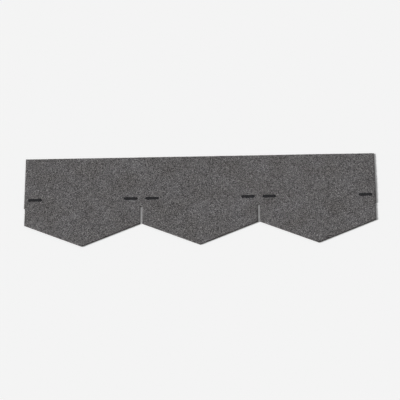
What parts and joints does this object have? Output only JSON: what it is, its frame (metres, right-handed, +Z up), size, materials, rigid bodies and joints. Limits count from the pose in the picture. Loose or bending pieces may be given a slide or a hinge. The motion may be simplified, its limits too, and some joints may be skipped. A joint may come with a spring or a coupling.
{
  "type": "asphalt shingle strip",
  "caption": "Flat strip of granule-surfaced asphalt roofing, die-cut into pointed hexagonal tabs parted by slots, with sealant dashes that grip the course laid over it.",
  "frame": {"origin": "middle of the underside, half way along the strip and half way up it", "axes": "+X along the strip, +Y from the tab tips to the top edge, +Z up out of the granule face"},
  "size_m": [1, 0.337, 0.004],
  "materials": {
    "mineral_granules": "ceramic-coated crushed rock granules pressed into bitumen, matt and coarse",
    "hot_melt_bitumen": "hot-melt bitumen, smooth and half glossy"
  },
  "bodies": {
    "root": {"shingle_sheet": "mineral_granules", "sealant_dashes": "hot_melt_bitumen"}
  },
  "joints": []
}
